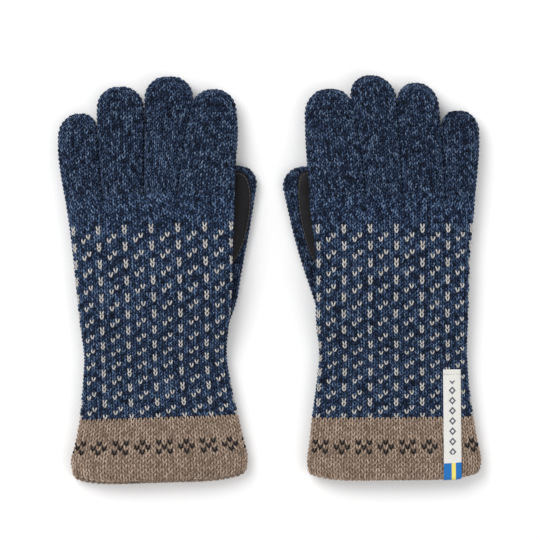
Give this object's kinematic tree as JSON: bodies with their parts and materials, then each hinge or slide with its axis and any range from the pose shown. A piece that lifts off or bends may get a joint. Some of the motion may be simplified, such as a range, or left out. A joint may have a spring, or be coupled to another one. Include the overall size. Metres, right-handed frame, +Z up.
{
  "type": "pair of knitted gloves",
  "caption": "Pair of knitted wool gloves with marled fingers, speckled two-colour hands, flared cuffs and leather grip patches, lying palm down.",
  "frame": {"origin": "centre of the bounding box's underside, where the pair lies on a table", "axes": "+X from the left glove to the right one, +Y from the cuffs to the fingertips, +Z up off the back of the hands"},
  "size_m": [0.2654, 0.2552, 0.0271],
  "materials": {
    "marl_knit": "knitted wool, blue marl",
    "jacquard_knit": "knitted wool, blue marl with pale stitches",
    "melange_knit": "knitted wool, brown melange with dark motifs",
    "leather": "soft grained leather, matt",
    "thread": "sewing thread",
    "elastic": "woven elastic",
    "label_weave": "woven ribbon"
  },
  "bodies": {
    "left_glove": {"left_hand": "jacquard_knit", "left_cuff": "melange_knit", "left_wrist_elastic": "elastic", "left_palm_leather": "leather", "left_palm_thread": "thread"},
    "right_glove": {"right_hand": "jacquard_knit", "right_cuff": "melange_knit", "right_wrist_elastic": "elastic", "right_palm_leather": "leather", "right_palm_thread": "thread", "label": "label_weave", "label_thread": "thread"},
    "left_index": {"left_index_finger": "marl_knit", "left_index_leather": "leather", "left_index_thread": "thread"},
    "left_middle": {"left_middle_finger": "marl_knit", "left_middle_leather": "leather", "left_middle_thread": "thread"},
    "left_ring": {"left_ring_finger": "marl_knit", "left_ring_leather": "leather", "left_ring_thread": "thread"},
    "left_little": {"left_little_finger": "marl_knit", "left_little_leather": "leather", "left_little_thread": "thread"},
    "left_thumb": {"left_thumb": "marl_knit", "left_thumb_leather": "leather", "left_thumb_thread": "thread"},
    "right_index": {"right_index_finger": "marl_knit", "right_index_leather": "leather", "right_index_thread": "thread"},
    "right_middle": {"right_middle_finger": "marl_knit", "right_middle_leather": "leather", "right_middle_thread": "thread"},
    "right_ring": {"right_ring_finger": "marl_knit", "right_ring_leather": "leather", "right_ring_thread": "thread"},
    "right_little": {"right_little_finger": "marl_knit", "right_little_leather": "leather", "right_little_thread": "thread"},
    "right_thumb": {"right_thumb": "marl_knit", "right_thumb_leather": "leather", "right_thumb_thread": "thread"}
  },
  "joints": [
    {"name": "right_glove_apart", "type": "slide", "parent": "left_glove", "child": "right_glove", "axis": [1, 0, 0], "range_m": [0, 0.15]},
    {"name": "left_index_curl", "type": "hinge", "parent": "left_glove", "child": "left_index", "pos_m": [-0.03992, 0.06321, 0.01729], "axis": [-0.9984, 0.0557, 0], "range_deg": [-45, 27]},
    {"name": "left_middle_curl", "type": "hinge", "parent": "left_glove", "child": "left_middle", "pos_m": [-0.06815, 0.06235, 0.01485], "axis": [-0.9995, 0.0331, 0], "range_deg": [-45, 60]},
    {"name": "left_ring_curl", "type": "hinge", "parent": "left_glove", "child": "left_ring", "pos_m": [-0.09386, 0.06154, 0.01252], "axis": [-0.9995, -0.0332, 0], "range_deg": [-45, 60]},
    {"name": "left_little_curl", "type": "hinge", "parent": "left_glove", "child": "left_little", "pos_m": [-0.11888, 0.06071, 0.01009], "axis": [-0.998, -0.063, 0], "range_deg": [-45, 60]},
    {"name": "left_thumb_open", "type": "hinge", "parent": "left_glove", "child": "left_thumb", "pos_m": [-0.03128, 0.00219, 0.0051], "axis": [-0.9829, 0.1841, 0], "range_deg": [0, 50]},
    {"name": "right_index_curl", "type": "hinge", "parent": "right_glove", "child": "right_index", "pos_m": [0.0403, 0.06182, 0.01728], "axis": [-0.9978, -0.0659, 0], "range_deg": [-45, 27]},
    {"name": "right_middle_curl", "type": "hinge", "parent": "right_glove", "child": "right_middle", "pos_m": [0.06939, 0.06211, 0.0147], "axis": [-0.9964, -0.0844, 0], "range_deg": [-45, 60]},
    {"name": "right_ring_curl", "type": "hinge", "parent": "right_glove", "child": "right_ring", "pos_m": [0.09496, 0.06238, 0.01235], "axis": [-0.9987, -0.0507, 0], "range_deg": [-45, 60]},
    {"name": "right_little_curl", "type": "hinge", "parent": "right_glove", "child": "right_little", "pos_m": [0.11926, 0.06261, 0.01], "axis": [-1, -0.005, 0], "range_deg": [-45, 60]},
    {"name": "right_thumb_open", "type": "hinge", "parent": "right_glove", "child": "right_thumb", "pos_m": [0.03665, 0.00028, 0.0051], "axis": [-0.9618, -0.2736, 0], "range_deg": [0, 50]}
  ]
}
